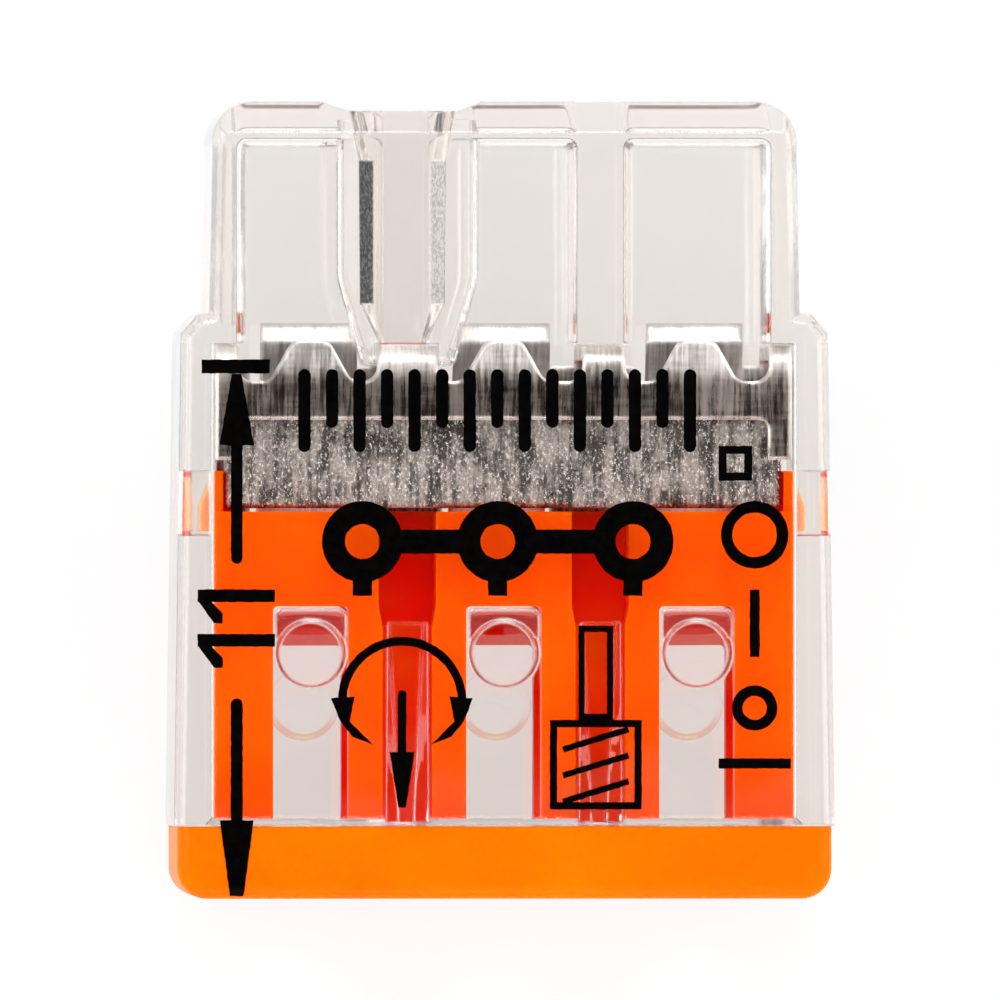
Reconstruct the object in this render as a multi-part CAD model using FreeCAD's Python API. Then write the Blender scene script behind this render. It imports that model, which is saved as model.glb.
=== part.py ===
"""Three-way push-in wire connector: clear housing, orange cover, busbar, clamp cage and leaf springs.

Millimetres. X runs across the three conductors, +Y is the way a wire is pushed in, +Z is up through the
printed face. The origin is the middle of the footprint, on the face that the connector rests on.
"""

import FreeCAD, Part
import math
import os

Vector = FreeCAD.Vector

# ---- driving dimensions ----
PITCH = 4.0
WAYS = 3
LENGTH = 16.5
FLANGE_WIDTH = 13.55
HEIGHT = 5.9
FLANGE_LENGTH = 1.5
WIRE_AXIS_Z = 2.85
INSULATION_BORE_R = 1.7
CORE_BORE_R = 1.15
SHEET = 0.30
SPRING_SHEET = 0.35
BUSBAR_THICKNESS = 1.0
PLAY = 0.05

# ---- places worked out from them ----
FRONT_Y = -LENGTH / 2
REAR_Y = LENGTH / 2
FLANGE_BACK_Y = FRONT_Y + FLANGE_LENGTH
WIRE_X = [PITCH * (i - (WAYS - 1) / 2) for i in range(WAYS)]
RIB_X = [(a + b) / 2 for a, b in zip(WIRE_X, WIRE_X[1:])]
SIDE_NAMES = ["left", "middle", "right"]

# ---- housing ----
EDGE_R = 0.30
LOW_EDGE_R = 0.14
WING_HALF_FRONT = 6.84
WING_HALF_REAR = 6.70
WING_END_Y = 3.84
WING_CHAMFER = (0.34, 0.40)
NOSE_HALF_FRONT = 6.12
NOSE_HALF_REAR = 6.04
NOSE_CORNER_R = 0.85
FLOOR_Z = 0.60
CEILING_Z = 5.20
CAVITY_HALF = 6.07
CAVITY_R = 0.08
SHOULDER_Y = 3.25
POCKET_END_Y = 7.50
POCKET_OUTER_HALF = 5.55
POCKET_RIB = 0.93
POCKET_R = 0.22
REAR_BEVEL_Y = 0.65
REAR_BEVEL_Z = 0.50
PORT_X = RIB_X[0] - 0.11
PORT_WALL_Z = 4.30
PORT_WALL_EDGE_R = 0.20
PORT_FLOOR_Z = 4.58
PORT_ROOF_Z = 5.34
STUD_R = 0.74
TOP_STUD_Y = -3.15
TOP_STUD_END_Y = -2.27
TOP_STUD_H = 0.62
TOP_STUD_TIP_R = 0.62
LOW_STUD_Y = -4.27
LOW_STUD_H = 0.46
LOW_STUD_FALL = 0.34
STUD_SLOPE_DEG = 18.0
LOW_STUD_EDGE_R = 0.12
STUD_SHOULDER_HALF = 0.70
STUD_SHOULDER_Y = -2.85
STUD_SHOULDER_H = 0.36
MOUTH_LEAD = 0.17
LATCH_Y = (-0.75, 0.62)
LATCH_Z = (1.65, 4.25)

# ---- cover ----
COVER_HALF = 6.02
COVER_LOW_Z = FLOOR_Z + PLAY
COVER_TOP_Z = CEILING_Z - PLAY
COVER_REAR_Y = -0.24
COVER_STEP_Y = -1.72
COVER_STEP_Z = 2.35
FLANGE_CORNER_R = 0.62
WINDOW_HALF = 0.78
WINDOW_REAR_Y = -2.20
SLOT_HALF = 0.52
SLOT_FLOOR_Z = 4.05
WELL_HALF = 0.60
WELL_FLOOR_Z = 3.30
WELL_FRONT_Y = -2.20
WELL_TAPER = 0.40
ARM_REAR_Y = 0.60
ARM_INNER_HALF = 5.56
LUG_OUT = 0.25
COVER_EDGE_R = 0.10
MOUTH_DEPTH = 0.50
MOUTH_FLARE = 0.20
FUNNEL_Y = (-3.95, -2.95)

# ---- metal ----
CAGE_HALF = 5.97
CAGE_FRONT_Y = -1.60
CAGE_BACK_Y = 3.20
CAGE_LOW_Z = 0.65
CAGE_TOP_Z = 5.10
BAR_FRONT_Y = 1.66
BAR_LEG_Y = 0.83
BAR_LEG_X = 5.47
NOTCH_Y = 2.46
NOTCH_R = 0.32
OPENINGS_X = [(-5.50, -2.62), (-1.38, 1.64), (2.52, 5.50)]
BELL_TOP_Y = 3.31
BELL_HALF_LOW = 0.85
BELL_HALF_TOP = 0.38
BUSBAR_HALF = 5.76
BUSBAR_Y = (-0.17, 2.35)
BUSBAR_LOW_Z = 3.75
TONGUE_HALF = 1.00
TONGUE_WINDOW_HALF = 1.12
TONGUE_PIVOT = (-0.88, CAGE_LOW_Z + SHEET / 2)
TONGUE_WINDOW_Y = TONGUE_PIVOT[0] - SPRING_SHEET / 2 - PLAY
TONGUE_CREST = (2.20, 3.44)
TONGUE_CREST_R = (0.60, 0.95)
TONGUE_BEVEL = 0.27
TONGUE_TIP_DEG = 22.0
TONGUE_TIP_Y = 3.60


def box(x0, x1, y0, y1, z0, z1):
    """A block between two corners."""
    return Part.makeBox(x1 - x0, y1 - y0, z1 - z0, Vector(x0, y0, z0))


def rounded_wire(corners, place):
    """A closed wire through corners (u, v) or (u, v, radius); place turns (u, v) into a point in space."""
    points = [(c[0], c[1], c[2] if len(c) > 2 else 0.0) for c in corners]
    pieces = []
    for i, (u, v, radius) in enumerate(points):
        before = points[i - 1]
        after = points[(i + 1) % len(points)]
        here = Vector(u, v, 0)
        back = (Vector(before[0], before[1], 0) - here).normalize()
        ahead = (Vector(after[0], after[1], 0) - here).normalize()
        if radius <= 0:
            pieces.append((here, None, here))
            continue
        half = back.getAngle(ahead) / 2
        run = radius / math.tan(half)
        middle = (back + ahead).normalize() * (radius / math.sin(half) - radius)
        pieces.append((here + back * run, here + middle, here + ahead * run))
    edges = []
    for i, (start, bulge, end) in enumerate(pieces):
        if bulge is not None:
            ends = [place(p.x, p.y) for p in (start, bulge, end)]
            edges.append(Part.Arc(*ends).toShape())
        follow = pieces[(i + 1) % len(pieces)][0]
        if (follow - end).Length > 1e-6:
            edges.append(Part.LineSegment(place(end.x, end.y), place(follow.x, follow.y)).toShape())
    return Part.Wire(edges)


def plan_prism(corners, z0, z1):
    """A plan outline (x, y) raised from z0 to z1."""
    wire = rounded_wire(corners, lambda u, v: Vector(u, v, z0))
    return Part.Face(wire).extrude(Vector(0, 0, z1 - z0))


def side_prism(corners, x0, x1):
    """A side outline (y, z) carried from x0 to x1."""
    wire = rounded_wire(corners, lambda u, v: Vector(x0, u, v))
    return Part.Face(wire).extrude(Vector(x1 - x0, 0, 0))


def front_prism(corners, y0, y1):
    """A front outline (x, z) carried from y0 to y1."""
    wire = rounded_wire(corners, lambda u, v: Vector(u, y0, v))
    return Part.Face(wire).extrude(Vector(0, y1 - y0, 0))


def trapezoid(x, half_low, half_top, z0, z1, y):
    """A trapezoid section across Y, for lofting."""
    corners = [(x - half_low, z0), (x + half_low, z0), (x + half_top, z1), (x - half_top, z1)]
    return rounded_wire(corners, lambda u, v: Vector(u, y, v))


def loft(sections):
    """A straight-sided solid through closed sections."""
    return Part.makeLoft(sections, True, True)


def fuse_all(shapes):
    """One solid from overlapping ones."""
    return shapes[0].multiFuse(shapes[1:]).removeSplitter()


def edges_at(shape, test):
    """The straight and curved edges whose middle point passes test."""
    found = []
    for edge in shape.Edges:
        middle = edge.valueAt((edge.FirstParameter + edge.LastParameter) / 2)
        if test(middle, edge):
            found.append(edge)
    return found


def is_upright(edge):
    """True for a straight edge along Z."""
    a, b = edge.Vertexes[0].Point, edge.Vertexes[-1].Point
    return abs(a.z - b.z) > 1e-6 and math.hypot(a.x - b.x, a.y - b.y) < 1e-6


def long_edges(block, half_width, y0, y1):
    """The four edges of a block that run along Y."""
    def along_y(middle):
        return abs(abs(middle.x) - half_width) < 1e-6 and y0 + 1e-6 < middle.y < y1 - 1e-6

    return edges_at(block, lambda p, e: along_y(p) and abs(p.z - WIRE_AXIS_Z) > 1.0)


def round_rims(block):
    """Rounds the edges of the top and the bottom face, except where flange and housing meet."""
    def on_rim(middle, z):
        return abs(middle.z - z) < 1e-6 and abs(middle.y - FLANGE_BACK_Y) > 1e-4

    block = block.makeFillet(EDGE_R, edges_at(block, lambda p, e: on_rim(p, HEIGHT)))
    return block.makeFillet(LOW_EDGE_R, edges_at(block, lambda p, e: on_rim(p, 0)))


def wire_bore(x, radius, y0, y1):
    """A round hole along the wire's axis."""
    return Part.makeCylinder(radius, y1 - y0, Vector(x, y0, WIRE_AXIS_Z), Vector(0, 1, 0))


def wire_cone(x, r0, r1, y0, y1):
    """A tapered hole along the wire's axis."""
    return Part.makeCone(r0, r1, y1 - y0, Vector(x, y0, WIRE_AXIS_Z), Vector(0, 1, 0))


# ---- clear housing ----
def housing_outer():
    """The wide front with its side wings, and the narrower nose behind them."""
    right = [
        (WING_HALF_FRONT, FLANGE_BACK_Y),
        (WING_HALF_REAR, WING_END_Y - WING_CHAMFER[1]),
        (WING_HALF_REAR - WING_CHAMFER[0], WING_END_Y),
        (NOSE_HALF_FRONT, WING_END_Y + 0.02),
        (NOSE_HALF_REAR, REAR_Y, NOSE_CORNER_R),
    ]
    left = [(-c[0],) + tuple(c[1:]) for c in reversed(right)]
    block = plan_prism(right + left, 0, HEIGHT)
    return round_rims(block)


def rear_bevel():
    """The wedge cut from the rear edge of the top face."""
    reach = FLANGE_WIDTH
    margin = 1.0
    wedge = [
        (REAR_Y - REAR_BEVEL_Y, HEIGHT),
        (REAR_Y, HEIGHT - REAR_BEVEL_Z),
        (REAR_Y + margin, HEIGHT - REAR_BEVEL_Z),
        (REAR_Y + margin, HEIGHT + margin),
        (REAR_Y - REAR_BEVEL_Y, HEIGHT + margin),
    ]
    return side_prism(wedge, -reach, reach)


def port_tube():
    """The wall round the test port: wide behind, drawn in to two prongs beside the cage's middle web."""
    x = RIB_X[0]
    wide = 1.44
    narrow = 0.93
    corners = [
        (x - wide, POCKET_END_Y + 0.2),
        (x - wide, 4.60, 1.2),
        (x - narrow, 2.80, 0.14),
        (x + narrow, 2.80, 0.14),
        (x + wide, 4.60, 1.2),
        (x + wide, POCKET_END_Y + 0.2),
    ]
    tube = plan_prism(corners, PORT_WALL_Z, CEILING_Z + 0.2)
    low_rim = edges_at(tube, lambda p, e: abs(p.z - PORT_WALL_Z) < 1e-6 and 2.9 < p.y < POCKET_END_Y + 0.1)
    return tube.makeFillet(PORT_WALL_EDGE_R, low_rim)


def port_tunnel():
    """The test port itself: a flared mouth, a straight run with sloped sides, and a throat at the cage."""
    mouth_y = REAR_Y - 0.1
    throat_y = SHOULDER_Y - 0.02
    sections = [
        (throat_y, 0.40, 0.48, PORT_FLOOR_Z),
        (4.05, 0.62, 0.88, PORT_FLOOR_Z),
        (7.00, 0.64, 0.90, PORT_FLOOR_Z),
        (mouth_y, 0.88, 1.14, PORT_FLOOR_Z - 0.30),
    ]
    parts = []
    for (y0, low0, top0, z0), (y1, low1, top1, z1) in zip(sections, sections[1:]):
        near = trapezoid(PORT_X, low0, top0, z0, PORT_ROOF_Z, y0)
        far = trapezoid(PORT_X, low1, top1, z1, PORT_ROOF_Z, y1)
        parts.append(loft([near, far]))
    run_out = sections[-1]
    parts.append(
        front_prism(
            [
                (PORT_X - run_out[1], run_out[3]),
                (PORT_X + run_out[1], run_out[3]),
                (PORT_X + run_out[2], PORT_ROOF_Z),
                (PORT_X - run_out[2], PORT_ROOF_Z),
            ],
            mouth_y,
            REAR_Y + 0.5,
        )
    )
    return parts


def rear_scoop():
    """The shallow hollow across the rear face that leads a probe to the port."""
    depth = 0.20
    corners = [
        (PORT_X - 1.75, REAR_Y + 0.3),
        (PORT_X - 1.70, REAR_Y, 0.35),
        (PORT_X - 1.10, REAR_Y - depth, 0.5),
        (PORT_X + 1.10, REAR_Y - depth, 0.5),
        (PORT_X + 1.70, REAR_Y, 0.35),
        (PORT_X + 1.75, REAR_Y + 0.3),
    ]
    return plan_prism(corners, -1, HEIGHT + 1)


def pockets():
    """The three blind chambers that take the bare wire ends."""
    found = []
    rib_sides = [x + s * POCKET_RIB / 2 for x in RIB_X for s in (-1, 1)]
    limits = [-POCKET_OUTER_HALF] + rib_sides + [POCKET_OUTER_HALF]
    for x0, x1 in zip(limits[0::2], limits[1::2]):
        room = box(x0, x1, SHOULDER_Y - 0.5, POCKET_END_Y, FLOOR_Z, CEILING_Z)
        corners = edges_at(room, lambda p, e: p.y > SHOULDER_Y)
        found.append(room.makeFillet(POCKET_R, corners))
    return found


def stud_ramp(x, tall_z):
    """The room above a plane that rises from tall_z, at the rear end of a top stud, towards the front."""
    run = 2.0
    rise = run * math.tan(math.radians(STUD_SLOPE_DEG))
    back_y = TOP_STUD_END_Y + 0.1
    corners = [
        (back_y, tall_z),
        (back_y, CEILING_Z + 0.5),
        (TOP_STUD_END_Y - run, CEILING_Z + 0.5),
        (TOP_STUD_END_Y - run, tall_z + rise),
        (TOP_STUD_END_Y, tall_z),
    ]
    return side_prism(corners, x - 1, x + 1)


def top_stud(x):
    """A catch under the ceiling, a tapered post on a square shoulder, that the cover's window drops over."""
    root = CEILING_Z + 0.1
    shoulder = [
        (x - STUD_SHOULDER_HALF, STUD_SHOULDER_Y),
        (x + STUD_SHOULDER_HALF, STUD_SHOULDER_Y),
        (x + STUD_SHOULDER_HALF, TOP_STUD_END_Y, 0.16),
        (x - STUD_SHOULDER_HALF, TOP_STUD_END_Y, 0.16),
    ]
    base = plan_prism(shoulder, root - 1.0, root).common(stud_ramp(x, CEILING_Z - STUD_SHOULDER_H))
    depth = TOP_STUD_H + 0.1
    post = Part.makeCone(STUD_R, TOP_STUD_TIP_R, depth, Vector(x, TOP_STUD_Y, root), Vector(0, 0, -1))
    post = post.common(stud_ramp(x, CEILING_Z - TOP_STUD_H))
    return base.fuse(post).removeSplitter()


def low_stud(x):
    """A round ramp on the floor, highest towards the flange."""
    blank = Part.makeCylinder(STUD_R, LOW_STUD_H + 0.1, Vector(x, LOW_STUD_Y, FLOOR_Z - 0.1))
    front_y, rear_y = LOW_STUD_Y - STUD_R, LOW_STUD_Y + STUD_R
    top_z = FLOOR_Z + LOW_STUD_H
    ramp = side_prism(
        [
            (front_y - 0.1, FLOOR_Z - 0.5),
            (rear_y + 0.1, FLOOR_Z - 0.5),
            (rear_y + 0.1, top_z - LOW_STUD_FALL),
            (front_y, top_z),
            (front_y - 0.1, top_z),
        ],
        x - 1,
        x + 1,
    )
    bump = blank.common(ramp)
    rim = edges_at(bump, lambda p, e: p.z > FLOOR_Z + 0.02 and not is_upright(e))
    return bump.makeFillet(LOW_STUD_EDGE_R, rim)


def guide_rib(x):
    """The wedge under the ceiling that slides into a slot of the cover, thinner towards the front."""
    root = CEILING_Z + 0.1
    tip = SLOT_FLOOR_Z + 0.08
    front = trapezoid(x, 0.14, 0.46, tip, root, FLANGE_BACK_Y + 0.08)
    rear = trapezoid(x, 0.35, 0.40, tip, root, WELL_FRONT_Y - WELL_TAPER + 0.05)
    return loft([front, rear])


def mouth_section(y, grow):
    """The outline of the cavity's open end at y, larger all round by grow."""
    half = CAVITY_HALF + grow
    low, top = FLOOR_Z - grow, CEILING_Z + grow
    corners = [(-half, low), (half, low), (half, top), (-half, top)]
    return rounded_wire([c + (CAVITY_R,) for c in corners], lambda u, v: Vector(u, y, v))


def housing():
    """The clear shell: outside shape less cavity, pockets, port and latch windows, plus ribs and studs."""
    body = housing_outer().cut(rear_bevel())
    body = body.cut(rear_scoop())

    cavity = box(-CAVITY_HALF, CAVITY_HALF, FLANGE_BACK_Y - 1, SHOULDER_Y, FLOOR_Z, CEILING_Z)
    cavity = cavity.makeFillet(CAVITY_R, long_edges(cavity, CAVITY_HALF, FLANGE_BACK_Y - 1, SHOULDER_Y))
    hollow = fuse_all([cavity] + pockets())

    prong_room = box(RIB_X[0] - 0.66, RIB_X[0] + 0.66, 2.0, SHOULDER_Y, PORT_WALL_Z - 1, CEILING_Z + 1)
    hollow = hollow.cut(port_tube().cut(prong_room))
    body = body.cut(hollow)

    for piece in port_tunnel():
        body = body.cut(piece)

    mouth = [mouth_section(FLANGE_BACK_Y, MOUTH_LEAD), mouth_section(FLANGE_BACK_Y + MOUTH_LEAD, 0)]
    body = body.cut(loft(mouth))

    for side in (-1, 1):
        near, far = sorted((side * (CAVITY_HALF - 0.5), side * (FLANGE_WIDTH / 2 + 1)))
        body = body.cut(box(near, far, LATCH_Y[0], LATCH_Y[1], LATCH_Z[0], LATCH_Z[1]))

    extras = [guide_rib(x) for x in RIB_X]
    extras += [top_stud(x) for x in WIRE_X]
    extras += [low_stud(x) for x in WIRE_X]
    return fuse_all([body] + extras)


# ---- orange cover ----
def cover_flange():
    """The front plate that closes the housing and forms the connector's front face."""
    half = FLANGE_WIDTH / 2
    corners = [
        (-half, FRONT_Y, FLANGE_CORNER_R),
        (half, FRONT_Y, FLANGE_CORNER_R),
        (half, FLANGE_BACK_Y),
        (-half, FLANGE_BACK_Y),
    ]
    block = plan_prism(corners, 0, HEIGHT)
    return round_rims(block)


def cover_body():
    """The block that fills the front of the housing, with its long edges rounded to clear the cavity."""
    body = box(-COVER_HALF, COVER_HALF, FLANGE_BACK_Y - 0.3, COVER_REAR_Y, COVER_LOW_Z, COVER_TOP_Z)
    body = body.makeFillet(COVER_EDGE_R, long_edges(body, COVER_HALF, FLANGE_BACK_Y - 0.3, COVER_REAR_Y))
    under = box(-COVER_HALF - 1, COVER_HALF + 1, COVER_STEP_Y, COVER_REAR_Y + 1, -1, COVER_STEP_Z)
    return body.cut(under)


def cover_arm(side):
    """A side arm with its latch lug, reaching back beside the busbar."""
    outer = COVER_HALF * side
    thick = (COVER_HALF - ARM_INNER_HALF) * side
    thin = (COVER_HALF - (BUSBAR_HALF + PLAY)) * side
    front = COVER_REAR_Y - 0.6

    def slab(depth, z0, z1):
        x0, x1 = sorted((outer - depth, outer))
        return box(x0, x1, front, ARM_REAR_Y, z0, z1)

    lower = slab(thick, COVER_STEP_Z, BUSBAR_LOW_Z - PLAY)
    upper = slab(thin, BUSBAR_LOW_Z - PLAY - 0.1, CAGE_TOP_Z - 0.25)
    lug_z = (LATCH_Z[0] + 0.75, LATCH_Z[1] - 0.15)
    lug = plan_prism(
        [
            (outer - 0.1 * side, LATCH_Y[0] + 0.1),
            (outer + LUG_OUT * side, LATCH_Y[0] + 0.1, 0.06),
            (outer + LUG_OUT * side, LATCH_Y[0] + 0.62, 0.15),
            (outer, LATCH_Y[1] - 0.1),
            (outer - 0.1 * side, LATCH_Y[1] - 0.1),
        ],
        *lug_z,
    )
    return [lower, upper, lug]


def cover():
    """The orange insert: flange, body and arms, less the wire entries, windows, slots and wells."""
    solids = [cover_flange(), cover_body()]
    for side in (-1, 1):
        solids += cover_arm(side)
    body = fuse_all(solids)

    funnel_front, funnel_rear = FUNNEL_Y
    throat_y = FRONT_Y + MOUTH_DEPTH
    cuts = []
    for x in WIRE_X:
        cuts.append(wire_cone(x, INSULATION_BORE_R + MOUTH_FLARE, INSULATION_BORE_R, FRONT_Y, throat_y))
        cuts.append(wire_bore(x, INSULATION_BORE_R, throat_y, funnel_front))
        cuts.append(wire_cone(x, INSULATION_BORE_R, CORE_BORE_R, funnel_front, funnel_rear))
        cuts.append(wire_bore(x, CORE_BORE_R, funnel_rear, COVER_REAR_Y + 0.5))
        window = [
            (x - WINDOW_HALF, FLANGE_BACK_Y),
            (x + WINDOW_HALF, FLANGE_BACK_Y),
            (x + WINDOW_HALF, WINDOW_REAR_Y, 0.1),
            (x - WINDOW_HALF, WINDOW_REAR_Y, 0.1),
        ]
        cuts.append(plan_prism(window, -0.1, HEIGHT + 0.1))
    for x in RIB_X:
        slot = [
            (x - SLOT_HALF, FLANGE_BACK_Y),
            (x + SLOT_HALF, FLANGE_BACK_Y),
            (x + SLOT_HALF, WELL_FRONT_Y),
            (x - SLOT_HALF, WELL_FRONT_Y),
        ]
        cuts.append(plan_prism(slot, SLOT_FLOOR_Z, HEIGHT))
        well = [
            (x - SLOT_HALF, WELL_FRONT_Y - WELL_TAPER),
            (x + SLOT_HALF, WELL_FRONT_Y - WELL_TAPER),
            (x + WELL_HALF, WELL_FRONT_Y),
            (x + WELL_HALF, COVER_REAR_Y + 0.5),
            (x - WELL_HALF, COVER_REAR_Y + 0.5),
            (x - WELL_HALF, WELL_FRONT_Y),
        ]
        cuts.append(plan_prism(well, WELL_FLOOR_Z, HEIGHT))
    for tool in cuts:
        body = body.cut(tool)
    return body.removeSplitter()


# ---- metal parts ----
def busbar():
    """The plain bar that all three conductors are pressed against."""
    bar = box(-BUSBAR_HALF, BUSBAR_HALF, *BUSBAR_Y, BUSBAR_LOW_Z, BUSBAR_LOW_Z + BUSBAR_THICKNESS)
    return bar.makeFillet(0.10, bar.Edges)


def bell(x):
    """The rounded lobe of the top bar that stands over one wire."""
    low, top, foot = BELL_HALF_LOW, BELL_HALF_TOP, 0.25
    corners = [
        (x - low - foot, NOTCH_Y - 0.1),
        (x - low - foot, NOTCH_Y),
        (x - low, NOTCH_Y, NOTCH_R),
        (x - top, BELL_TOP_Y, 0.28),
        (x + top, BELL_TOP_Y, 0.28),
        (x + low, NOTCH_Y, NOTCH_R),
        (x + low + foot, NOTCH_Y),
        (x + low + foot, NOTCH_Y - 0.1),
    ]
    return plan_prism(corners, CAGE_TOP_Z - SHEET, CAGE_TOP_Z)


def clamp_cage():
    """The sheet-steel cage: base plate, four rear webs, and the top bar that backs the busbar."""
    outer_r, inner_r = 0.45, 0.15
    inside_y = CAGE_BACK_Y - SHEET
    profile = [
        (CAGE_FRONT_Y, CAGE_LOW_Z),
        (CAGE_BACK_Y, CAGE_LOW_Z, outer_r),
        (CAGE_BACK_Y, CAGE_TOP_Z, outer_r),
        (BAR_LEG_Y, CAGE_TOP_Z),
        (BAR_LEG_Y, CAGE_TOP_Z - SHEET),
        (inside_y, CAGE_TOP_Z - SHEET, inner_r),
        (inside_y, CAGE_LOW_Z + SHEET, inner_r),
        (CAGE_FRONT_Y, CAGE_LOW_Z + SHEET),
    ]
    cage = side_prism(profile, -CAGE_HALF, CAGE_HALF)
    between_legs = [
        (-BAR_LEG_X, BAR_LEG_Y - 1),
        (BAR_LEG_X, BAR_LEG_Y - 1),
        (BAR_LEG_X, BAR_FRONT_Y, 0.2),
        (-BAR_LEG_X, BAR_FRONT_Y, 0.2),
    ]
    cage = cage.cut(plan_prism(between_legs, CAGE_TOP_Z - 1, CAGE_TOP_Z + 1))
    lobes = []
    for (x0, x1), x in zip(OPENINGS_X, WIRE_X):
        opening = [
            (x0, NOTCH_Y, NOTCH_R),
            (x1, NOTCH_Y, NOTCH_R),
            (x1, CAGE_BACK_Y + 1),
            (x0, CAGE_BACK_Y + 1),
        ]
        cage = cage.cut(plan_prism(opening, CAGE_LOW_Z + SHEET + 0.6, CAGE_TOP_Z + 1))
        cage = cage.cut(box(x0, x1, inside_y - 0.1, CAGE_BACK_Y + 1, CAGE_LOW_Z - 1, CAGE_TOP_Z - 1))
        window = [
            (x - TONGUE_WINDOW_HALF, TONGUE_WINDOW_Y, 0.1),
            (x + TONGUE_WINDOW_HALF, TONGUE_WINDOW_Y, 0.1),
            (x + TONGUE_WINDOW_HALF, CAGE_BACK_Y + 1),
            (x - TONGUE_WINDOW_HALF, CAGE_BACK_Y + 1),
        ]
        cage = cage.cut(plan_prism(window, CAGE_LOW_Z - 1, CAGE_LOW_Z + 1))
        lobes.append(bell(x))
    return fuse_all([cage] + lobes)


def tongue_profile():
    """The side outline of a leaf spring: a round root, a straight rising blade, a flatter bevelled tip."""
    half = SPRING_SHEET / 2
    root_y, root_z = TONGUE_PIVOT
    crest_y, crest_z = TONGUE_CREST
    rise = math.atan2(crest_z - root_z, crest_y - root_y)
    tip = math.radians(TONGUE_TIP_DEG)
    turn = (rise + tip) / 2
    end_y = TONGUE_TIP_Y
    end_z = crest_z + (end_y - crest_y) * math.tan(tip)

    def beside(y, z, angle, along, across):
        """The point that lies along and across from (y, z), in a direction turned up by angle."""
        return (
            y + along * math.cos(angle) - across * math.sin(angle),
            z + along * math.sin(angle) + across * math.cos(angle),
        )

    mitre = half / math.cos((rise - tip) / 2)
    root_r = half * 0.99
    return [
        beside(root_y, root_z, rise, -half, -half) + (root_r,),
        beside(crest_y, crest_z, turn, 0, -mitre) + (TONGUE_CREST_R[0],),
        beside(end_y, end_z, tip, 0, -half),
        beside(end_y, end_z, tip, -TONGUE_BEVEL, half),
        beside(crest_y, crest_z, turn, 0, mitre) + (TONGUE_CREST_R[1],),
        beside(root_y, root_z, rise, -half, half) + (root_r,),
    ]


def spring_tongue(x):
    """One leaf spring; its round root turns in the front end of its window in the cage's base."""
    return side_prism(tongue_profile(), x - TONGUE_HALF, x + TONGUE_HALF)


# ---- write the parts ----
def main():
    """Builds every piece and writes one STEP file for each."""
    parts = {
        "housing": housing(),
        "wire_entry_cover": cover(),
        "busbar": busbar(),
        "clamp_cage": clamp_cage(),
    }
    for name, x in zip(SIDE_NAMES, WIRE_X):
        parts[f"spring_tongue_{name}"] = spring_tongue(x)
    os.makedirs("parts", exist_ok=True)
    for name, shape in parts.items():
        print(name, "valid" if shape.isValid() else "not valid", "volume", round(shape.Volume, 3))
        shape.exportStep(f"parts/{name}.step")


main()
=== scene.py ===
"""Looks for the three-way push-in wire connector: clear housing, orange cover, metal inside, black ink."""

import math

import bmesh
import bpy
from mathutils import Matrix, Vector, noise


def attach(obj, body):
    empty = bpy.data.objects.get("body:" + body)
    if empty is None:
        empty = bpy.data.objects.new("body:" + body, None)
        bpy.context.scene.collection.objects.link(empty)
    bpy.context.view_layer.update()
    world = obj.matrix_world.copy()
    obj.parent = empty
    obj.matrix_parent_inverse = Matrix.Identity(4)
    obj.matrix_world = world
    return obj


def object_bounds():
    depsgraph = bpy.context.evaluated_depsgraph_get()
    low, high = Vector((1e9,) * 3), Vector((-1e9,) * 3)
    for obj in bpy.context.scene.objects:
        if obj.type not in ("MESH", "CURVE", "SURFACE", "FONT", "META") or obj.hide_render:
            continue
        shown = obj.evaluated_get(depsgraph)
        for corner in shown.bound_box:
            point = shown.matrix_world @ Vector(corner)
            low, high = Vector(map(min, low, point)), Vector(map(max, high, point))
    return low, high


MM = 0.001
BODY = "connector"

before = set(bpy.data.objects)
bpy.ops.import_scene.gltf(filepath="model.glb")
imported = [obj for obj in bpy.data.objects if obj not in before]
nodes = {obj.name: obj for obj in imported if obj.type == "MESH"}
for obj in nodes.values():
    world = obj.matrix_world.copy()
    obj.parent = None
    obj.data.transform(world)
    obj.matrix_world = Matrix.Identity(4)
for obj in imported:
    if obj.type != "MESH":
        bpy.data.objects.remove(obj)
cad_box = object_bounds()
noise.seed_set(11)

# ---- places on the part ----
BOX_LOW, BOX_HIGH = cad_box
TOP_Z = BOX_HIGH.z
FRONT_Y = BOX_LOW.y
PITCH = 4.0 * MM
FLANGE_EDGE_R = 0.30 * MM
FLANGE_BACK_Y = (-6.80 * MM, -6.72 * MM)
WELL_DEPTH_Z = (4.9 * MM, 3.6 * MM)
LUG_SIDE_X = (6.03 * MM, 6.05 * MM)
LUG_FRONT_Y = (-1.0 * MM, -0.8 * MM)
FOOT_RIM_Z = 0.11 * MM
PORT_X = -2.11 * MM
PORT_WALL = ((0.60 * MM, 0.94 * MM), (4.06 * MM, 7.02 * MM), (4.50 * MM, 5.36 * MM))
POCKET_SIDE = ((5.52 * MM, 5.60 * MM), (3.60 * MM, 7.35 * MM), (0.8 * MM, 5.0 * MM))
LOW_STUD_Y = -4.27 * MM
LOW_STUD_RIM = (0.60 * MM, 0.75 * MM)
LOW_STUD_RIM_Z = (0.63 * MM, 1.2 * MM)
LOW_STUD_LIT_Y = (-0.55 * MM, -0.05 * MM)
BELL_FRONT_Y = (2.30 * MM, 2.90 * MM)


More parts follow.
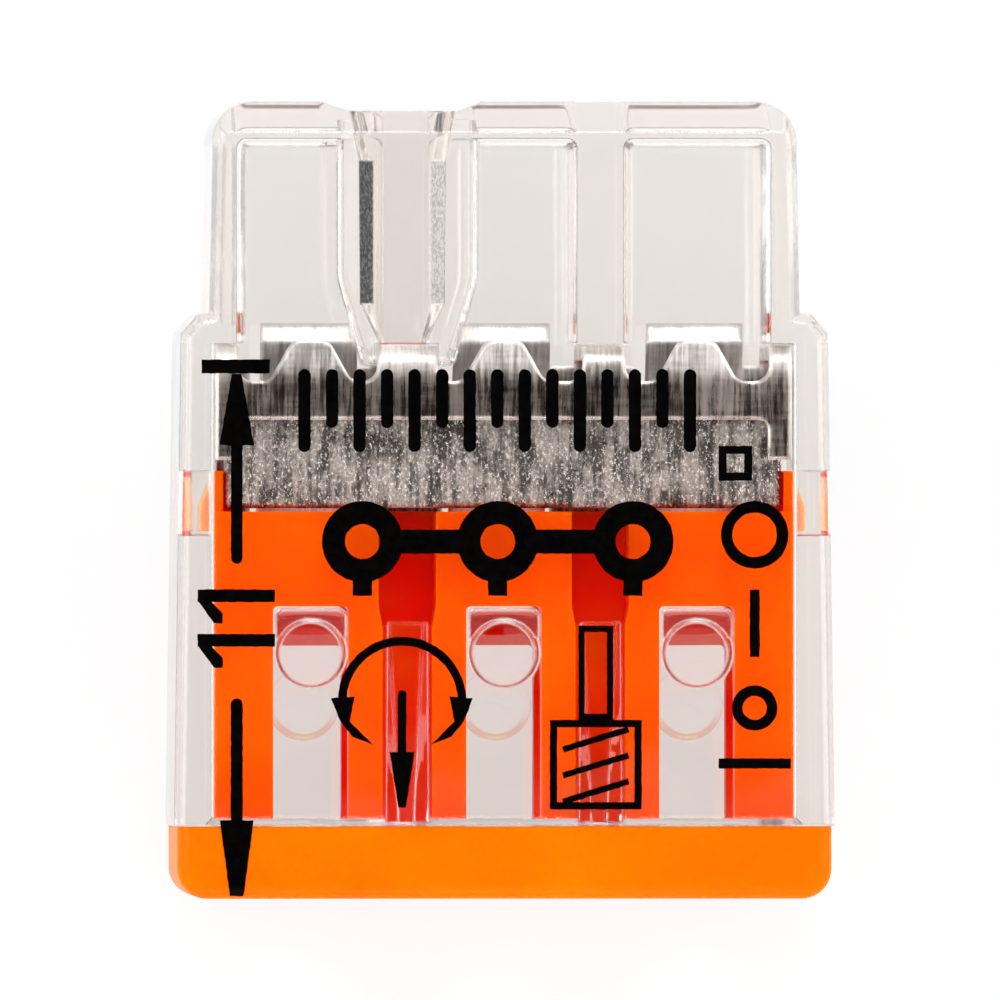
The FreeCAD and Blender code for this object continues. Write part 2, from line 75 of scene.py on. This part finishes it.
# ---- material helpers ----
class Nodes:
    """Short calls for building one material's node tree."""

    def __init__(self, name):
        self.material = bpy.data.materials.new(name)
        self.material.use_nodes = True
        self.tree = self.material.node_tree
        self.tree.nodes.clear()
        self.out = self.add("ShaderNodeOutputMaterial")
        self.place = self.add("ShaderNodeTexCoord").outputs["Object"]

    def add(self, kind, **settings):
        node = self.tree.nodes.new(kind)
        for key, value in settings.items():
            setattr(node, key, value)
        return node

    def link(self, a, b):
        self.tree.links.new(a, b)

    def feed(self, socket, value):
        """Sets a socket to a number or colour, or links it to another socket."""
        if isinstance(value, bpy.types.NodeSocket):
            self.link(value, socket)
        elif isinstance(value, (tuple, list)) and len(value) == 3 and len(socket.default_value) == 4:
            socket.default_value = (*value, 1.0)
        else:
            socket.default_value = value

    def math(self, operation, a, b=0.0, c=0.0):
        node = self.add("ShaderNodeMath", operation=operation)
        for socket, value in zip(node.inputs, (a, b, c)):
            self.feed(socket, value)
        return node.outputs[0]

    def times(self, *values):
        """The product of several masks."""
        product = values[0]
        for value in values[1:]:
            product = self.math("MULTIPLY", product, value)
        return product

    def noise(self, scale, detail=3.0, rough=0.5):
        """Noise over the object's own coordinates; scale is in cycles per metre, alike or for each axis."""
        scale = scale if isinstance(scale, tuple) else (scale,) * 3
        mapping = self.add("ShaderNodeMapping")
        self.link(self.place, mapping.inputs["Vector"])
        mapping.inputs["Scale"].default_value = scale
        node = self.add("ShaderNodeTexNoise")
        self.link(mapping.outputs[0], node.inputs["Vector"])
        node.inputs["Scale"].default_value = 1.0
        node.inputs["Detail"].default_value = detail
        node.inputs["Roughness"].default_value = rough
        return node.outputs["Fac"]

    def spread(self, value, low, high, out_low=0.0, out_high=1.0, smooth=False):
        """Maps low..high to out_low..out_high, held at the ends."""
        node = self.add("ShaderNodeMapRange")
        node.interpolation_type = "SMOOTHSTEP" if smooth else "LINEAR"
        self.feed(node.inputs["Value"], value)
        self.feed(node.inputs["From Min"], low)
        self.feed(node.inputs["From Max"], high)
        self.feed(node.inputs["To Min"], out_low)
        self.feed(node.inputs["To Max"], out_high)
        return node.outputs["Result"]

    def blend(self, factor, a, b):
        """A colour between a and b."""
        node = self.add("ShaderNodeMix", data_type="RGBA")
        self.feed(node.inputs["Factor"], factor)
        self.feed(node.inputs[6], a)
        self.feed(node.inputs[7], b)
        return node.outputs[2]

    def axis(self, name):
        """The x, y or z of the point, in metres."""
        node = self.add("ShaderNodeSeparateXYZ")
        self.link(self.place, node.inputs[0])
        return node.outputs[name.upper()]

    def band(self, value, limits, soft):
        """1 between the two limits, 0 outside, with soft edges."""
        low, high = limits
        rise = self.spread(value, low - soft, low + soft, smooth=True)
        fall = self.spread(value, high - soft, high + soft, 1.0, 0.0, smooth=True)
        return self.times(rise, fall)

    def bump(self, height, distance, strength=1.0, normal=None):
        node = self.add("ShaderNodeBump")
        self.link(height, node.inputs["Height"])
        node.inputs["Distance"].default_value = distance
        node.inputs["Strength"].default_value = strength
        if normal is not None:
            self.link(normal, node.inputs["Normal"])
        return node.outputs[0]

    def rounded(self, radius, samples=6):
        """A normal that rolls over sharp edges."""
        node = self.add("ShaderNodeBevel", samples=samples)
        node.inputs["Radius"].default_value = radius
        return node.outputs[0]

    def edge(self, rolled):
        """How far a rolled normal leans away from the flat one, from 0 to 1."""
        flat = self.add("ShaderNodeNewGeometry").outputs["True Normal"]
        dot = self.add("ShaderNodeVectorMath", operation="DOT_PRODUCT")
        self.link(rolled, dot.inputs[0])
        self.link(flat, dot.inputs[1])
        return self.spread(dot.outputs["Value"], 0.995, 0.85)

    def principled(self, **inputs):
        node = self.add("ShaderNodeBsdfPrincipled")
        for name, value in inputs.items():
            self.feed(node.inputs[name.replace("_", " ")], value)
        return node

    def finish(self, shader):
        self.link(shader, self.out.inputs["Surface"])
        return self.material

    def finish_clear(self, shader, tint):
        """Ends a clear material: lamps' light passes straight through, tinted, and the bulk absorbs blue."""
        lamp_ray = self.add("ShaderNodeLightPath").outputs["Is Shadow Ray"]
        through = self.add("ShaderNodeBsdfTransparent")
        through.inputs["Color"].default_value = (*tint, 1.0)
        mix = self.add("ShaderNodeMixShader")
        self.link(lamp_ray, mix.inputs[0])
        self.link(shader, mix.inputs[1])
        self.link(through.outputs[0], mix.inputs[2])
        bulk = self.add("ShaderNodeVolumeAbsorption")
        bulk.inputs["Color"].default_value = (0.34, 0.17, 0.07, 1.0)
        bulk.inputs["Density"].default_value = 30.0
        self.link(bulk.outputs[0], self.out.inputs["Volume"])
        return self.finish(mix.outputs[0])


# ---- masks on the housing ----
def painted_glow_stud_rims(m):
    """1 on the front rims of the three floor studs, where a painted orange glow stands in for the cover's
    light that they pipe.
    """
    x = m.math("ABSOLUTE", m.math("WRAP", m.axis("x"), PITCH / 2, -PITCH / 2))
    y = m.math("SUBTRACT", m.axis("y"), LOW_STUD_Y)
    reach = m.math("SQRT", m.math("ADD", m.times(x, x), m.times(y, y)))
    return m.times(
        m.band(reach, LOW_STUD_RIM, 0.03 * MM),
        m.band(m.axis("z"), LOW_STUD_RIM_Z, 0.02 * MM),
        m.spread(y, *LOW_STUD_LIT_Y, 0.8, 0.0, smooth=True),
    )


def port_walls(m):
    """1 on the test port's two side walls, and 1 on the left one only, which gets painted shade."""
    across = m.math("SUBTRACT", m.axis("x"), PORT_X)
    reach, y_span, z_span = PORT_WALL
    both = m.times(
        m.band(m.math("ABSOLUTE", across), reach, 0.02 * MM),
        m.band(m.axis("y"), y_span, 0.03 * MM),
        m.band(m.axis("z"), z_span, 0.02 * MM),
    )
    return both, m.times(both, m.spread(across, -0.1 * MM, 0.1 * MM, 1.0, 0.0))


def pocket_sides(m):
    """1 on patches of the two outermost pocket walls, whose eroded texture is darkened with painted shade.
    """
    reach, y_span, z_span = POCKET_SIDE
    return m.times(
        m.band(m.math("ABSOLUTE", m.axis("x")), reach, 0.01 * MM),
        m.band(m.axis("y"), y_span, 0.05 * MM),
        m.band(m.axis("z"), z_span, 0.1 * MM),
        m.spread(m.noise((300, 900, 300), 2.0, 0.5), 0.38, 0.55),
    )


def foot_rim(m):
    """1 on the rounding at the foot of the housing, 0 on the face that it rests on."""
    z = m.axis("z")
    above_face = m.spread(z, 0.001 * MM, 0.003 * MM)
    return m.times(m.spread(z, FOOT_RIM_Z, FOOT_RIM_Z + 0.03 * MM, 1.0, 0.0), above_face)


# ---- materials ----
def clear_plastic():
    """Polished polycarbonate, with an eroded texture on the test port's sides and the outer pocket walls.
    Painted shade darkens the texture's specks and the whole left port wall, and a painted orange glow lies
    on the floor studs' front rims.
    """
    m = Nodes("clear_polycarbonate")
    grain = m.noise((26000, 11000, 26000), 2.0, 0.7)
    speck_and_shade = m.spread(grain, 0.40, 0.60, smooth=True)
    fleck_and_shade = m.spread(grain, 0.48, 0.66, smooth=True)
    port, painted_shade_left_port = port_walls(m)
    side = pocket_sides(m)

    # Eroded texture on the port walls, with its specks darkened by painted shade.
    colour = m.blend(port, (1.0, 0.978, 0.958), m.blend(speck_and_shade, (0.35, 0.35, 0.36), (0.90, 0.90, 0.90)))
    # Painted shade: the left port wall is painted nearly black.
    colour = m.blend(painted_shade_left_port, colour, m.blend(fleck_and_shade, (0.001, 0.001, 0.001), (0.13, 0.13, 0.135)))
    # Eroded texture on the outer pocket walls, with its specks darkened by painted shade.
    colour = m.blend(side, colour, m.blend(speck_and_shade, (0.02, 0.018, 0.016), (0.75, 0.74, 0.72)))
    # Painted glow: the floor studs' front rims are painted orange, for the cover's light that they pipe.
    colour = m.blend(painted_glow_stud_rims(m), colour, (0.90, 0.42, 0.24))
    textured = m.math("MAXIMUM", port, side)
    frosted = m.math("MAXIMUM", textured, m.times(foot_rim(m), 0.9))
    ripple = m.bump(m.noise(220, 2.0, 0.4), 0.02 * MM, 0.35, m.rounded(0.09 * MM))
    bump = m.bump(m.times(grain, textured), 0.02 * MM, 1.0, ripple)
    shader = m.principled(
        Base_Color=colour, Roughness=m.spread(frosted, 0.0, 1.0, 0.015, 0.45), Normal=bump
    )
    shader.inputs["Transmission Weight"].default_value = 1.0
    shader.inputs["IOR"].default_value = 1.58
    return m.finish_clear(shader.outputs[0], (0.97, 0.965, 0.96))


def orange_plastic():
    """Translucent orange. Painted light makes it light and yellowish where it is bare and thin, painted
    shade makes it deep red down in the wells, and painted light makes the side lugs pale.
    """
    m = Nodes("orange_translucent")
    # Painted shade: the cover is painted deeper red the further down the wells it goes.
    depth = m.spread(m.axis("z"), *WELL_DEPTH_Z, smooth=True)
    body = m.blend(depth, (1.0, 0.088, 0.0), (1.0, 0.012, 0.0))
    cloud = m.noise((260, 420, 260), 3.0, 0.5)
    body = m.blend(m.spread(cloud, 0.40, 0.70, 0.0, 0.55), body, (1.0, 0.135, 0.0))
    # Painted light: the bare flange is painted lighter and yellower than the covered body.
    bare = m.blend(m.spread(cloud, 0.35, 0.70), (1.0, 0.150, 0.0), (1.0, 0.188, 0.0))
    colour = m.blend(m.spread(m.axis("y"), *FLANGE_BACK_Y, 1.0, 0.0), body, bare)
    # Painted light: the side lugs are painted pale pinkish orange, as if washed out through the clear wing.
    lug_painted_light = m.times(
        m.spread(m.math("ABSOLUTE", m.axis("x")), *LUG_SIDE_X),
        m.spread(m.axis("y"), *LUG_FRONT_Y),
    )
    colour = m.blend(lug_painted_light, colour, (1.0, 0.42, 0.24))
    fine = m.noise(9000, 3.0, 0.6)
    shader = m.principled(
        Base_Color=colour,
        Roughness=m.spread(fine, 0.3, 0.7, 0.26, 0.38),
        Normal=m.bump(fine, 0.003 * MM, 0.5),
    )
    shader.inputs["IOR"].default_value = 1.5
    shader.inputs["Specular IOR Level"].default_value = 0.03
    shader.inputs["Subsurface Weight"].default_value = 0.85
    shader.inputs["Subsurface Radius"].default_value = (1.0, 0.20, 0.02)
    shader.inputs["Subsurface Scale"].default_value = 1.8 * MM
    return m.finish(shader.outputs[0])


def tinned_copper():
    """Dull tin plating: blotches and drawn streaks, broken up by fine bright scratches and crystals."""
    m = Nodes("tinned_copper")
    blotch = m.noise((1500, 1100, 1500), 4.0, 0.7)
    streak = m.noise((7500, 650, 3000), 3.0, 0.6)
    grit = m.noise((22000, 14000, 22000), 3.0, 0.75)
    shade = m.math("ADD", m.times(blotch, 0.55), m.times(streak, 0.45))
    colour = m.blend(m.spread(shade, 0.42, 0.58, smooth=True), (0.085, 0.076, 0.070), (0.46, 0.430, 0.402))
    colour = m.blend(m.spread(grit, 0.55, 0.64, 0.0, 0.95), colour, (1.0, 0.98, 0.95))
    colour = m.blend(m.spread(grit, 0.35, 0.44, 0.65, 0.0), colour, (0.06, 0.052, 0.045))
    rolled = m.rounded(0.12 * MM)
    # Painted highlight: the rolled edges are painted light.
    colour = m.blend(m.times(m.edge(rolled), 0.7), colour, (0.85, 0.82, 0.79))
    bump = m.bump(blotch, 0.07 * MM, 1.0, rolled)
    bump = m.bump(streak, 0.020 * MM, 0.9, bump)
    bump = m.bump(grit, 0.022 * MM, 1.0, bump)
    shader = m.principled(Base_Color=colour, Roughness=m.spread(blotch, 0.3, 0.7, 0.24, 0.46), Normal=bump)
    shader.inputs["Metallic"].default_value = 1.0
    return m.finish(shader.outputs[0])


def spring_steel(name, dark, light, rough, bell_highlight_y=None):
    """Rolled stainless sheet with its grain along Y. Painted highlights make its edges bright, and a bent
    zone too.
    """
    m = Nodes(name)
    grain = m.noise((13000, 900, 900), 4.0, 0.65)
    cross = m.noise((1200, 9000, 1200), 3.0, 0.6)
    patch = m.noise((800, 520, 800), 3.0, 0.5)
    shade = m.math("ADD", m.times(grain, 0.45), m.times(patch, 0.35))
    shade = m.math("ADD", shade, m.times(cross, 0.20))
    colour = m.blend(m.spread(shade, 0.38, 0.62, smooth=True), dark, light)
    roughness = m.spread(grain, 0.3, 0.7, *rough)
    if bell_highlight_y is not None:
        # Painted highlight: the bent bells are painted bright, and their gloss is made rougher.
        bell_highlight = m.spread(m.axis("y"), *bell_highlight_y, smooth=True)
        bright = m.blend(m.spread(shade, 0.36, 0.60, smooth=True), (0.50, 0.485, 0.47), (1.0, 0.98, 0.96))
        colour = m.blend(bell_highlight, colour, bright)
        roughness = m.math("ADD", roughness, m.times(bell_highlight, 0.16))
    rolled = m.rounded(0.17 * MM, 8)
    # Painted highlight: the rolled edges are painted light.
    colour = m.blend(m.times(m.edge(rolled), 0.85), colour, (0.97, 0.95, 0.93))
    bump = m.bump(patch, 0.10 * MM, 1.0, rolled)
    bump = m.bump(grain, 0.006 * MM, 0.7, bump)
    bump = m.bump(cross, 0.004 * MM, 0.6, bump)
    shader = m.principled(Base_Color=colour, Roughness=roughness, Normal=bump)
    shader.inputs["Metallic"].default_value = 1.0
    return m.finish(shader.outputs[0])


def black_ink():
    """Pad-printed black ink, a little uneven in gloss and depth."""
    m = Nodes("black_ink")
    mottle = m.noise(6000, 4.0, 0.6)
    shader = m.principled(
        Base_Color=m.blend(m.spread(mottle, 0.35, 0.75), (0.0003, 0.0002, 0.0002), (0.0012, 0.0008, 0.0006)),
        Roughness=m.spread(mottle, 0.3, 0.7, 0.30, 0.50),
        Normal=m.bump(mottle, 0.004 * MM, 0.5),
    )
    shader.inputs["Specular IOR Level"].default_value = 0.03
    return m.finish(shader.outputs[0])


def floor_white():
    """The white diffuser of a light table, which glows."""
    m = Nodes("floor_white")
    fine = m.noise(40, 3.0, 0.5)
    colour = m.blend(m.spread(fine, 0.3, 0.7), (0.19, 0.19, 0.19), (0.21, 0.21, 0.21))
    shader = m.principled(Base_Color=colour, Roughness=0.8)
    shader.inputs["Specular IOR Level"].default_value = 0.1
    shader.inputs["Emission Color"].default_value = (1, 1, 1, 1)
    shader.inputs["Emission Strength"].default_value = 0.76
    return m.finish(shader.outputs[0])


# ---- carried-over CAD nodes ----
def dress(name, material):
    """Gives a CAD node its material, and smooth shading across gentle edges."""
    mesh = nodes[name].data
    mesh.materials.clear()
    mesh.materials.append(material)
    mesh.shade_smooth()
    mesh.set_sharp_from_angle(angle=math.radians(30.0))


# ---- printed marks, in millimetres until they are inked ----
INK_GAP = 0.002 * MM
INK_THICKNESS = 0.006 * MM
INK_STEP = 0.05 * MM
INK_WOBBLE = 0.012 * MM
INK_LAYER = 0.0006 * MM
INK_MERGE = 0.0005 * MM
WOBBLE_RATE = 9000
EDGE_CUTS = 8


def top_surface(y):
    """Height of the printed face at y; it rolls over at the flange's front edge."""
    past = min(max((FRONT_Y + FLANGE_EDGE_R) - y, 0.0), FLANGE_EDGE_R)
    return TOP_Z - FLANGE_EDGE_R + math.sqrt(FLANGE_EDGE_R**2 - past**2)


def patch(*corners):
    """A convex patch of ink through corners (x, y)."""
    return [[Vector(c) for c in corners]]


def bar(x0, y0, x1, y1, width, width_end=None, round_ends=False):
    """A straight stroke from one point to another, which may taper or have round ends."""
    a, b = Vector((x0, y0)), Vector((x1, y1))
    along = (b - a).normalized()
    side = Vector((-along.y, along.x))
    r0, r1 = width / 2, (width if width_end is None else width_end) / 2
    if not round_ends:
        return [[a + side * r0, a - side * r0, b - side * r1, b + side * r1]]
    points = []
    for centre, r, start in ((a, r0, 90), (b, r1, 270)):
        for i in range(9):
            t = math.radians(start + i * 22.5)
            points.append(centre + along * math.cos(t) * r + side * math.sin(t) * r)
    return [points]


def arc(x, y, r, width, start_deg=0, end_deg=360, steps=44):
    """A curved stroke of constant width about (x, y), as a chain of short patches."""
    def at(i, reach):
        t = math.radians(start_deg + (end_deg - start_deg) * i / steps)
        return Vector((x + math.cos(t) * reach, y + math.sin(t) * reach))

    near, far = r - width / 2, r + width / 2
    return [[at(i, near), at(i, far), at(i + 1, far), at(i + 1, near)] for i in range(steps)]


def box_frame(x0, y0, x1, y1, width):
    """Four strokes round a rectangle, end to side."""
    h = width / 2
    return (
        bar(x0, y0 + h, x1, y0 + h, width)
        + bar(x0, y1 - h, x1, y1 - h, width)
        + bar(x0 + h, y0 + width, x0 + h, y1 - width, width)
        + bar(x1 - h, y0 + width, x1 - h, y1 - width, width)
    )


def ink_vertex(bm, p):
    """A point of an outline, moved a little by noise, so that the printed edge is slightly rough."""
    x, y = p.x * MM, p.y * MM
    shift = noise.noise_vector((x * WOBBLE_RATE, y * WOBBLE_RATE, 0)) * INK_WOBBLE
    return bm.verts.new((x + shift.x, max(y + shift.y, FRONT_Y + 0.01 * MM), 0))


def flat_stroke(patches):
    """One stroke as a flat mesh, cut across near the front edge, so that it can follow the rounding."""
    bm = bmesh.new()
    for outline in patches:
        ring = []
        for a, b in zip(outline, outline[1:] + outline[:1]):
            count = max(1, round((b - a).length * MM / INK_STEP))
            ring += [ink_vertex(bm, a.lerp(b, i / count)) for i in range(count)]
        bm.faces.new(ring)
    bmesh.ops.remove_doubles(bm, verts=bm.verts[:], dist=INK_MERGE)
    for i in range(EDGE_CUTS):
        cut = (0, FRONT_Y + FLANGE_EDGE_R * (0.04 + i / 7.5), 0)
        geometry = bm.verts[:] + bm.edges[:] + bm.faces[:]
        bmesh.ops.bisect_plane(bm, geom=geometry, plane_co=cut, plane_no=(0, 1, 0))
    bmesh.ops.triangulate(bm, faces=bm.faces[:])
    for face in bm.faces:
        if face.normal.z < 0:
            face.normal_flip()
    return bm


def raise_stroke(bm, thickness):
    """Lays a flat stroke on the printed face and gives it its thickness."""
    raised = bmesh.ops.extrude_face_region(bm, geom=bm.faces[:])["geom"]
    upper = {v for v in raised if isinstance(v, bmesh.types.BMVert)}
    for v in bm.verts:
        v.co.z = top_surface(v.co.y) + INK_GAP + (thickness if v in upper else 0)
    bmesh.ops.recalc_face_normals(bm, faces=bm.faces[:])


def ink(name, strokes, material):
    """Thin raised patches of ink on the printed face; later strokes lie a hair above earlier ones."""
    whole = bmesh.new()
    for layer, patches in enumerate(strokes):
        bm = flat_stroke(patches)
        raise_stroke(bm, INK_THICKNESS + INK_LAYER * layer)
        part = bpy.data.meshes.new(name)
        bm.to_mesh(part)
        bm.free()
        whole.from_mesh(part)
        bpy.data.meshes.remove(part)
    mesh = bpy.data.meshes.new(name)
    whole.to_mesh(mesh)
    whole.free()
    mesh.materials.append(material)
    obj = bpy.data.objects.new(name, mesh)
    bpy.context.scene.collection.objects.link(obj)
    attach(obj, BODY)


def print_strip_gauge(material):
    """The length to strip, between a stop line and the wire entry, with its figure 11."""
    x = -5.55
    strokes = [
        bar(-6.28, 2.76, -4.87, 2.76, 0.29),
        bar(x, 2.61, x, 1.13, 0.20, 0.72),
        bar(x, 1.16, x, -1.20, 0.24, round_ends=True),
        bar(x, -4.22, x, -6.70, 0.25, round_ends=True),
        bar(x, -6.62, x, -8.19, 0.70, 0.28),
    ]
    flag = ((-6.36, -0.10), (-6.10, -0.10), (-5.84, -0.36), (-5.84, -0.57), (-6.02, -0.57))
    for y in (-1.98, -2.90):
        strokes.append(bar(-6.36, y, -4.76, y, 0.26))
        strokes.append(patch(*[(u, y + v) for u, v in flag]))
    ink("ink_strip_gauge", strokes, material)


def print_scale_ticks(material):
    """A row of ticks, every second one short."""
    strokes = []
    for i in range(15):
        x = -4.15 + i * 0.57
        strokes.append(bar(x, 2.58, x, 1.12 if i % 2 == 0 else 1.62, 0.26, round_ends=True))
    ink("ink_scale_ticks", strokes, material)


def print_splice_symbol(material):
    """Three joined rings, one for each wire."""
    y = -0.86
    strokes = []
    for x in (-2.95, -0.15, 2.65):
        strokes.append(arc(x, y, 0.60, 0.48))
        strokes.append(bar(x, y - 0.74, x, y - 1.12, 0.40))
    for start, end in ((-2.22, -0.88), (0.58, 1.92)):
        strokes.append(bar(start, y, end, y, 0.50))
    ink("ink_splice_symbol", strokes, material)


def print_turn_and_pull(material):
    """A half turn with a point at each end, and an arrow out of it: twist the wire and pull it out."""
    x, y = -2.13, -4.16
    strokes = [arc(x, y, 1.24, 0.18, -2, 182)]
    outer, inner, neck_in, neck_out = (1.47, 0.06), (0.98, 0.10), (1.08, -0.42), (1.28, -0.42)
    tip, tip_side = (0.60, -0.90), (1.02, -0.74)
    for side in (-1, 1):
        for corners in (
            (outer, inner, neck_in),
            (outer, neck_in, neck_out),
            (neck_out, neck_in, tip),
            (neck_out, tip, tip_side),
        ):
            strokes.append(patch(*[(x + side * u, y + v) for u, v in corners]))
    strokes.append(bar(x, y + 0.14, x, y - 1.10, 0.18, round_ends=True))
    strokes.append(bar(x, y - 1.05, x, y - 2.20, 0.52, 0.16))
    ink("ink_turn_and_pull", strokes, material)


def print_stripped_wire(material):
    """A hatched sheath with a bare core out of it."""
    x = 1.88
    strokes = [box_frame(x - 0.95, -6.40, x + 0.95, -4.55, 0.15)]
    for y in (-6.12, -5.58, -5.04):
        strokes.append(bar(x - 0.68, y - 0.12, x + 0.68, y + 0.30, 0.13))
    strokes.append(box_frame(x - 0.36, -4.55, x + 0.36, -2.60, 0.13))
    ink("ink_stripped_wire", strokes, material)


def print_wire_sizes(material):
    """A small square, and a thick and a thin wire seen end on, with a dash between and a line below them."""
    x = 5.17
    strokes = [
        box_frame(4.42, 0.40, 5.12, 1.12, 0.17),
        arc(x, -0.72, 0.58, 0.24),
        bar(x, -1.85, x, -3.25, 0.21),
        arc(x, -4.30, 0.36, 0.22),
        bar(x - 0.75, -5.45, x + 0.75, -5.45, 0.21),
    ]
    ink("ink_wire_sizes", strokes, material)


# ---- stage, light and camera ----
VIEW_MM = 20.68
VIEW_TILT = math.radians(2.4)
VIEW_DISTANCE = 0.70
VIEW_CENTRE_X = -0.103 * MM
FLOOR_SIZE = 3.0
FLOOR_GAP = 0.02 * MM
TENT_STOPS = (
    (0.0, 0.85), (0.30, 1.0), (0.72, 1.0), (0.88, 0.35), (0.975, 0.04), (0.993, 0.006), (1.0, 0.004),
)
REFLECTOR_RIM = (-0.0072, -0.0078)
REFLECTOR_LEVEL = 0.20


def build_stage():
    bpy.ops.mesh.primitive_plane_add(size=FLOOR_SIZE, location=(0, 0, -FLOOR_GAP))
    floor = bpy.context.object
    floor.name = "floor"
    floor.data.materials.append(floor_white())


def build_world():
    """A white light tent: dim straight overhead, where its opening is, and bright all round."""
    world = bpy.data.worlds.new("tent")
    bpy.context.scene.world = world
    world.use_nodes = True
    tree = world.node_tree
    tree.nodes.clear()
    out = tree.nodes.new("ShaderNodeOutputWorld")
    back = tree.nodes.new("ShaderNodeBackground")
    place = tree.nodes.new("ShaderNodeTexCoord")
    split = tree.nodes.new("ShaderNodeSeparateXYZ")
    ramp = tree.nodes.new("ShaderNodeValToRGB")
    tree.links.new(place.outputs["Generated"], split.inputs[0])
    tree.links.new(split.outputs["Z"], ramp.inputs[0])
    elements = ramp.color_ramp.elements
    elements[0].position = TENT_STOPS[0][0]
    elements[1].position = TENT_STOPS[-1][0]
    for position, _ in TENT_STOPS[1:-1]:
        elements.new(position)
    for element, (_, grey) in zip(elements, TENT_STOPS):
        element.color = (grey, grey, grey, 1)

    # The rim of a pale reflector beside the tent's opening, which the flat top mirrors as a faint haze.
    rim = tree.nodes.new("ShaderNodeMapRange")
    rim.interpolation_type = "SMOOTHSTEP"
    rim.inputs["From Min"].default_value = REFLECTOR_RIM[0]
    rim.inputs["From Max"].default_value = REFLECTOR_RIM[1]
    rim.inputs["To Max"].default_value = REFLECTOR_LEVEL
    brighter = tree.nodes.new("ShaderNodeMath")
    brighter.operation = "MAXIMUM"
    tree.links.new(split.outputs["Y"], rim.inputs["Value"])
    tree.links.new(ramp.outputs[0], brighter.inputs[0])
    tree.links.new(rim.outputs["Result"], brighter.inputs[1])
    tree.links.new(brighter.outputs[0], back.inputs[0])
    tree.links.new(back.outputs[0], out.inputs[0])
    back.inputs["Strength"].default_value = 1.0


def softbox(name, place, size, watts):
    """A rectangular lamp aimed at the part."""
    data = bpy.data.lights.new(name, "AREA")
    data.shape = "RECTANGLE"
    data.size, data.size_y = size
    data.energy = watts
    light = bpy.data.objects.new(name, data)
    light.location = place
    light.rotation_euler = (-Vector(place)).to_track_quat("-Z", "Y").to_euler()
    bpy.context.scene.collection.objects.link(light)


def build_lights():
    softbox("softbox_left", (-0.25, 0.05, 0.22), (0.25, 0.25), 0.55)
    softbox("softbox_right", (0.25, 0.02, 0.20), (0.25, 0.25), 0.45)
    softbox("softbox_front", (0.02, -0.26, 0.18), (0.30, 0.12), 0.35)
    softbox("softbox_rear", (0, 0.29, 0.27), (0.10, 0.10), 0.35)


def build_camera():
    """Looks down on the printed face from a little to the left."""
    data = bpy.data.cameras.new("camera")
    data.sensor_width = 36.0
    data.lens = data.sensor_width * VIEW_DISTANCE / (VIEW_MM * MM)
    data.clip_start = 0.01
    data.clip_end = 20.0
    camera = bpy.data.objects.new("camera", data)
    target = Vector((VIEW_CENTRE_X, 0, TOP_Z))
    camera.location = target + Vector((-math.sin(VIEW_TILT), 0, math.cos(VIEW_TILT))) * VIEW_DISTANCE
    camera.rotation_euler = (0, -VIEW_TILT, 0)
    bpy.context.scene.collection.objects.link(camera)
    bpy.context.scene.camera = camera


def set_light_paths():
    """Enough bounces for light to cross several clear walls."""
    scene = bpy.context.scene
    scene.cycles.max_bounces = 24
    scene.cycles.transmission_bounces = 20
    scene.cycles.transparent_max_bounces = 32
    scene.cycles.glossy_bounces = 8
    scene.cycles.diffuse_bounces = 6
    scene.view_settings.view_transform = "Standard"


def dress_all():
    dress("housing", clear_plastic())
    dress("wire_entry_cover", orange_plastic())
    dress("busbar", tinned_copper())
    cage = spring_steel("cage_steel", (0.085, 0.068, 0.060), (0.62, 0.56, 0.52), (0.20, 0.38), BELL_FRONT_Y)
    dress("clamp_cage", cage)
    # Lit copy: the tongues are the cage's steel, painted lighter.
    lit_leaf = spring_steel("lit_leaf_steel", (0.58, 0.565, 0.55), (1.0, 0.99, 0.98), (0.34, 0.50))
    for tongue in ("left", "middle", "right"):
        dress(f"spring_tongue_{tongue}", lit_leaf)


def print_all():
    material = black_ink()
    print_strip_gauge(material)
    print_scale_ticks(material)
    print_splice_symbol(material)
    print_turn_and_pull(material)
    print_stripped_wire(material)
    print_wire_sizes(material)


dress_all()
print_all()
build_stage()
build_world()
build_lights()
build_camera()
set_light_paths()
